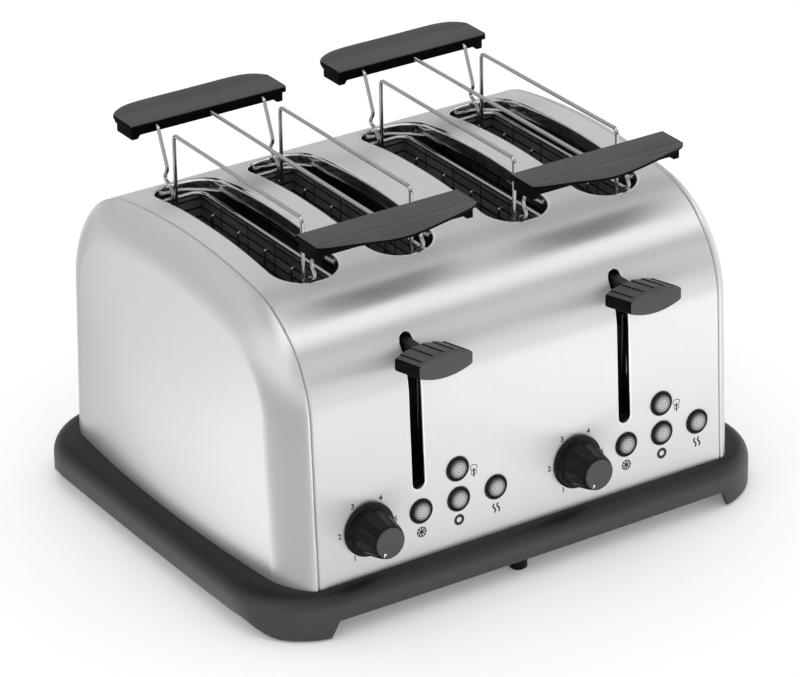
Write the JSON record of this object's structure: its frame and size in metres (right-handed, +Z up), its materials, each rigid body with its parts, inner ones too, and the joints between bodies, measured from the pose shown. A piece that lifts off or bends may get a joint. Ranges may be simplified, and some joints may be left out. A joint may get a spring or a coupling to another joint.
{
  "type": "toaster",
  "caption": "Wide rounded steel toaster with twin pairs of bread slots, lever, dial and button controls, lift-off wire bun racks and a black plinth.",
  "frame": {"origin": "on the table under the middle of the whole outline", "axes": "+X to the toaster's right as seen from the controls, +Y to its back, +Z up"},
  "size_m": [0.329, 0.281, 0.2118],
  "materials": {
    "brushed_steel": "fine vertical brushing",
    "satin_black_plastic": "satin moulded",
    "bright_wire": "bright plated",
    "cage_sheet": "dull heat-toned sheet",
    "zinc_sheet": "zinc-plated sheet",
    "mica_board": "flaky mica",
    "button_grey": "smooth moulded",
    "board_green": "coated board",
    "magnet_copper": "enamelled winding",
    "foot_rubber": "matt"
  },
  "bodies": {
    "housing": {"base_plinth": "satin_black_plastic", "bottom_plate": "zinc_sheet", "rubber_feet": "foot_rubber", "wrap_pegs": "satin_black_plastic", "base_screws": "zinc_sheet", "chassis_floor": "zinc_sheet", "front_bulkhead": "zinc_sheet", "rear_bulkhead": "zinc_sheet", "wrap_cover": "brushed_steel", "left_end_cap": "brushed_steel", "right_end_cap": "brushed_steel", "bread_cage_1": "cage_sheet", "bread_cage_2": "cage_sheet", "bread_cage_3": "cage_sheet", "bread_cage_4": "cage_sheet", "cage_rims": "bright_wire", "heater_board_1": "mica_board", "heater_board_2": "mica_board", "heater_board_3": "mica_board", "heater_board_4": "mica_board", "heater_board_5": "mica_board", "heater_board_6": "mica_board", "guide_rods": "bright_wire", "left_lift_spring": "bright_wire", "right_lift_spring": "bright_wire", "left_magnet": "magnet_copper", "right_magnet": "magnet_copper", "left_control_board": "board_green", "right_control_board": "board_green", "timers": "zinc_sheet", "left_bezels": "satin_black_plastic", "right_bezels": "satin_black_plastic", "terminal_block": "satin_black_plastic", "cord_gland": "satin_black_plastic"},
    "left_lever": {"left_lever_knob": "satin_black_plastic", "left_carriage": "zinc_sheet", "bread_lift_1": "zinc_sheet", "bread_lift_2": "zinc_sheet"},
    "left_dial": {"left_dial": "satin_black_plastic", "left_dial_shaft": "zinc_sheet"},
    "left_thaw_button": {"left_thaw_button": "button_grey"},
    "left_stop_button": {"left_stop_button": "button_grey"},
    "left_warm_button": {"left_warm_button": "button_grey"},
    "left_bun_button": {"left_bun_button": "button_grey"},
    "left_rack": {"left_rack": "bright_wire", "left_rack_handles": "satin_black_plastic"},
    "left_crumb_tray": {"left_crumb_tray": "zinc_sheet"},
    "right_lever": {"right_lever_knob": "satin_black_plastic", "right_carriage": "zinc_sheet", "bread_lift_3": "zinc_sheet", "bread_lift_4": "zinc_sheet"},
    "right_dial": {"right_dial": "satin_black_plastic", "right_dial_shaft": "zinc_sheet"},
    "right_thaw_button": {"right_thaw_button": "button_grey"},
    "right_stop_button": {"right_stop_button": "button_grey"},
    "right_warm_button": {"right_warm_button": "button_grey"},
    "right_bun_button": {"right_bun_button": "button_grey"},
    "right_rack": {"right_rack": "bright_wire", "right_rack_handles": "satin_black_plastic"},
    "right_crumb_tray": {"right_crumb_tray": "zinc_sheet"}
  },
  "joints": [
    {"name": "left_lever_slide", "type": "slide", "parent": "housing", "child": "left_lever", "axis": [0, 0, -1], "range_m": [0, 0.075], "stiffness_N_per_m": 100, "springref_m": -0.05, "deforming": ["left_lift_spring"]},
    {"name": "left_dial_turn", "type": "hinge", "parent": "housing", "child": "left_dial", "pos_m": [-0.0986, -0.1146, 0.0522], "axis": [0, 0.9989, -0.0471], "range_deg": [0, 300]},
    {"name": "left_thaw_press", "type": "slide", "parent": "housing", "child": "left_thaw_button", "axis": [0, 0.9989, -0.0471], "range_m": [0, 0.002], "stiffness_N_per_m": 400},
    {"name": "left_stop_press", "type": "slide", "parent": "housing", "child": "left_stop_button", "axis": [0, 0.9989, -0.0471], "range_m": [0, 0.002], "stiffness_N_per_m": 400},
    {"name": "left_warm_press", "type": "slide", "parent": "housing", "child": "left_warm_button", "axis": [0, 0.9989, -0.0471], "range_m": [0, 0.002], "stiffness_N_per_m": 400},
    {"name": "left_bun_press", "type": "slide", "parent": "housing", "child": "left_bun_button", "axis": [0, 0.9989, -0.0471], "range_m": [0, 0.002], "stiffness_N_per_m": 400},
    {"name": "left_rack_lift", "type": "slide", "parent": "housing", "child": "left_rack", "axis": [0, 0, 1], "range_m": [0, 0.06]},
    {"name": "left_tray_slide", "type": "slide", "parent": "housing", "child": "left_crumb_tray", "axis": [0, 1, 0], "range_m": [0, 0.18]},
    {"name": "right_lever_slide", "type": "slide", "parent": "housing", "child": "right_lever", "axis": [0, 0, -1], "range_m": [0, 0.075], "stiffness_N_per_m": 100, "springref_m": -0.05, "deforming": ["right_lift_spring"]},
    {"name": "right_dial_turn", "type": "hinge", "parent": "housing", "child": "right_dial", "pos_m": [0.0334, -0.1146, 0.0522], "axis": [0, 0.9989, -0.0471], "range_deg": [0, 300]},
    {"name": "right_thaw_press", "type": "slide", "parent": "housing", "child": "right_thaw_button", "axis": [0, 0.9989, -0.0471], "range_m": [0, 0.002], "stiffness_N_per_m": 400},
    {"name": "right_stop_press", "type": "slide", "parent": "housing", "child": "right_stop_button", "axis": [0, 0.9989, -0.0471], "range_m": [0, 0.002], "stiffness_N_per_m": 400},
    {"name": "right_warm_press", "type": "slide", "parent": "housing", "child": "right_warm_button", "axis": [0, 0.9989, -0.0471], "range_m": [0, 0.002], "stiffness_N_per_m": 400},
    {"name": "right_bun_press", "type": "slide", "parent": "housing", "child": "right_bun_button", "axis": [0, 0.9989, -0.0471], "range_m": [0, 0.002], "stiffness_N_per_m": 400},
    {"name": "right_rack_lift", "type": "slide", "parent": "housing", "child": "right_rack", "axis": [0, 0, 1], "range_m": [0, 0.06]},
    {"name": "right_tray_slide", "type": "slide", "parent": "housing", "child": "right_crumb_tray", "axis": [0, 1, 0], "range_m": [0, 0.18]}
  ]
}
